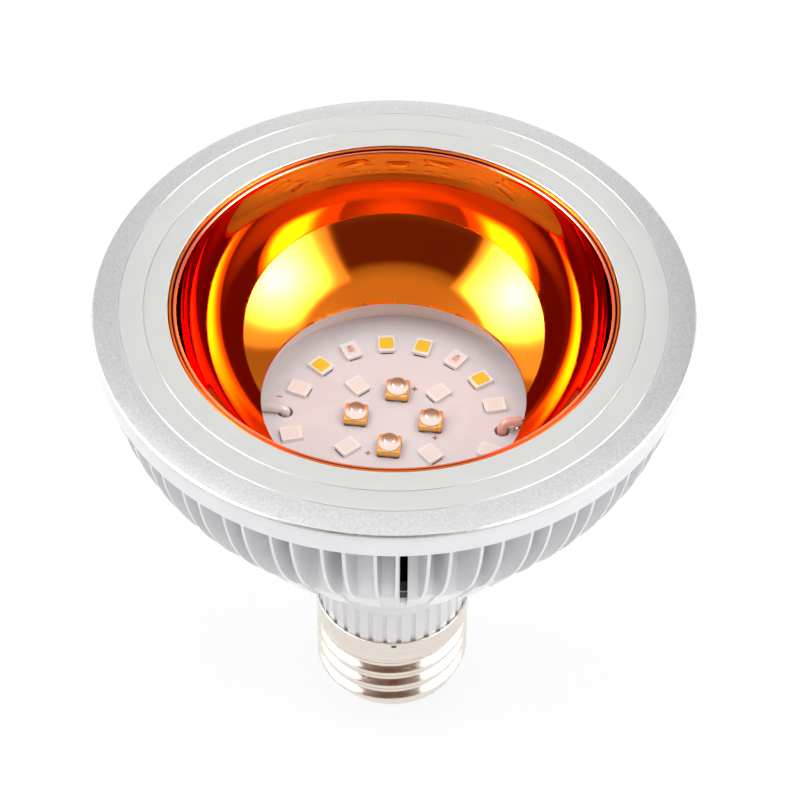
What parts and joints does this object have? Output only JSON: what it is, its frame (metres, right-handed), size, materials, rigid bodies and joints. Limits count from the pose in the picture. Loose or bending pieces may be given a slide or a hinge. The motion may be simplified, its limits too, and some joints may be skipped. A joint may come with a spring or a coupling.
{
  "type": "reptile uv heat lamp bulb",
  "caption": "Reflector lamp for a reptile terrarium: LEDs and UV emitters in an amber bowl, aluminium front ring, ring of folded fins, fluted neck, screw cap",
  "frame": {"origin": "on the lamp's axis, in the plane of the screw cap's rim", "axes": "+Z along the axis from the cap to the front ring (the light leaves along +Z), -Y to the side the picture shows, +X to the right in the picture"},
  "size_m": [0.095, 0.095, 0.0965],
  "materials": {
    "ring_aluminium": "satin turned",
    "rim_paint": "smooth satin",
    "amber_mirror": "amber metallised inside, dark outside",
    "seat_mirror": "polished",
    "board_mask": "white solder mask",
    "led_pale": "white package, pale window",
    "led_warm": "white package, yellow window",
    "led_red": "white package, clear window",
    "uv_base": "gold-brown",
    "uv_glass": "clear",
    "lead_pink": "insulation",
    "lead_beige": "insulation",
    "solder": "bright",
    "fin_paint": "white satin paint",
    "core_paint": "white satin paint",
    "plate_aluminium": "plain",
    "neck_plastic": "white moulded",
    "screw_steel": "zinc plated",
    "cap_nickel": "nickel plated",
    "insulator_glass": "black vitrified",
    "contact_brass": "tinned",
    "driver_green": "solder mask",
    "chip_black": "moulded",
    "capacitor_sleeve": "shrink sleeve",
    "ferrite": "sintered",
    "copper_wire": "enamelled",
    "film_red": "dipped"
  },
  "bodies": {
    "root": {"base_plate": "plate_aluminium", "bridge_rectifier": "chip_black", "bulk_capacitor": "capacitor_sleeve", "cap_insulator": "insulator_glass", "cap_shell": "cap_nickel", "centre_contact": "contact_brass", "cooling_fins": "fin_paint", "driver_board": "driver_green", "driver_chip": "chip_black", "film_capacitor": "film_red", "fin_core": "core_paint", "front_ring": "ring_aluminium", "fuse_resistor": "film_red", "inductor_core": "ferrite", "inductor_winding": "copper_wire", "led_board": "board_mask", "live_lead": "lead_pink", "neck_sleeve": "neck_plastic", "negative_lead": "lead_beige", "neutral_lead": "lead_beige", "pale_led_1": "led_pale", "pale_led_2": "led_pale", "pale_led_3": "led_pale", "pale_led_4": "led_pale", "pale_led_5": "led_pale", "pale_led_6": "led_pale", "pale_led_7": "led_pale", "pale_led_8": "led_pale", "positive_lead": "lead_pink", "red_led_1": "led_red", "red_led_2": "led_red", "red_led_3": "led_red", "red_led_4": "led_red", "reflector": "amber_mirror", "reflector_seat": "seat_mirror", "rim_cup": "rim_paint", "sleeve_screws": "screw_steel", "solder_joints": "solder", "uv_led_base_1": "uv_base", "uv_led_base_2": "uv_base", "uv_led_base_3": "uv_base", "uv_led_base_4": "uv_base", "uv_led_lens_1": "uv_glass", "uv_led_lens_2": "uv_glass", "uv_led_lens_3": "uv_glass", "uv_led_lens_4": "uv_glass", "warm_led_1": "led_warm", "warm_led_2": "led_warm", "warm_led_3": "led_warm", "warm_led_4": "led_warm", "warm_led_5": "led_warm", "warm_led_6": "led_warm", "warm_led_7": "led_warm", "warm_led_8": "led_warm"}
  },
  "joints": []
}
